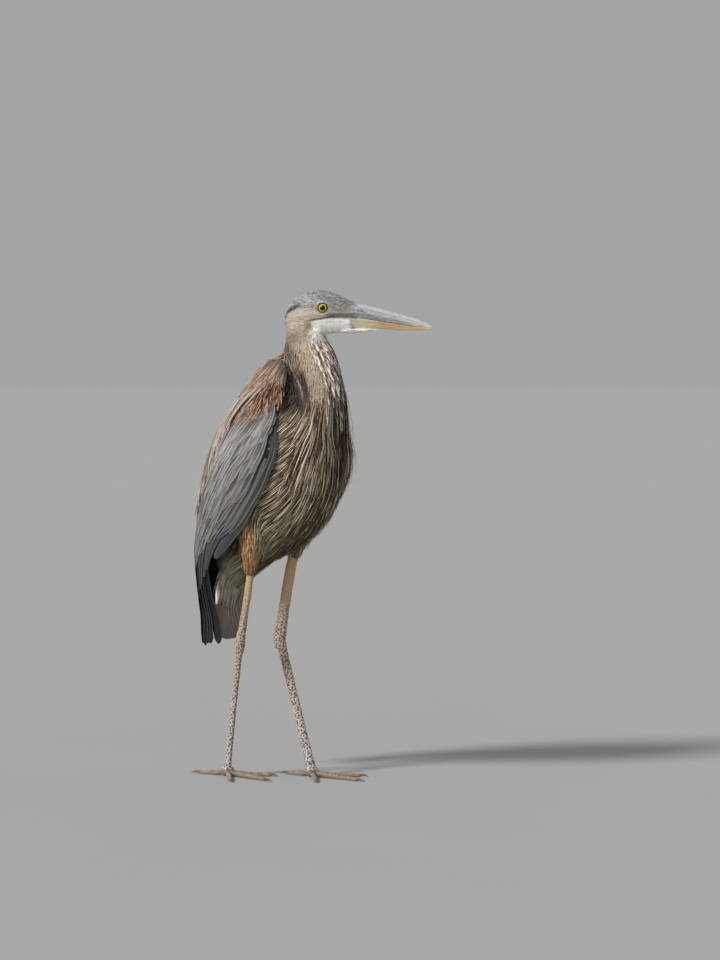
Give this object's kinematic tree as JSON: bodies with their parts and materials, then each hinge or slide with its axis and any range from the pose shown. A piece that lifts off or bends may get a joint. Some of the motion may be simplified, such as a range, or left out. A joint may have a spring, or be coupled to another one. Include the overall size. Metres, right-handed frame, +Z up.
{
  "type": "young great blue heron",
  "caption": "Still life-size young great blue heron standing upright with its neck drawn in and its wings folded.",
  "frame": {"origin": "centre of the footprint's bounding box, on the floor the feet stand on", "axes": "+Z up; the bill points mostly along +X, turned 14 degrees towards -Y; the breast faces 42 degrees from +X towards -Y; the bird's own right side faces -Y"},
  "size_m": [0.365, 0.2258, 0.7329],
  "materials": {
    "crown": "slate grey crown and white cheek feathers, matt",
    "neck": "grey-brown feathers with fine buff and rust streaks, matt",
    "body": "brown-grey plumes with buff streaks, matt",
    "wing": "blue-grey coverts with pale edges and darker slate flight feathers",
    "tail": "pale grey tail feathers",
    "thigh": "rust-orange feathers with cream edges",
    "shin": "bare sandy skin with small scales",
    "scales": "grey-brown scaled skin with dark marks",
    "toes": "grey-brown scaled skin",
    "claw": "dark horn, satin",
    "bill_upper": "slate blue-grey horn, satin",
    "bill_lower": "yellow-orange horn, satin",
    "eye": "yellow iris and black pupil under a clear wet surface"
  },
  "bodies": {
    "root": {"head": "crown", "bill_upper": "bill_upper", "bill_lower": "bill_lower", "eye_right": "eye", "eye_left": "eye", "neck_upper": "neck", "neck_lower": "neck", "trunk": "body", "tail": "tail", "wing_right": "wing", "thigh_right": "thigh", "tibia_right": "shin", "ankle_right": "scales", "tarsus_right": "scales", "foot_right": "toes", "toe_right_middle": "toes", "toe_right_inner": "toes", "toe_right_outer": "toes", "toe_right_hind": "toes", "claw_right_middle": "claw", "claw_right_inner": "claw", "claw_right_outer": "claw", "claw_right_hind": "claw", "wing_left": "wing", "thigh_left": "thigh", "tibia_left": "shin", "ankle_left": "scales", "tarsus_left": "scales", "foot_left": "toes", "toe_left_middle": "toes", "toe_left_inner": "toes", "toe_left_outer": "toes", "toe_left_hind": "toes", "claw_left_middle": "claw", "claw_left_inner": "claw", "claw_left_outer": "claw", "claw_left_hind": "claw"}
  },
  "joints": []
}
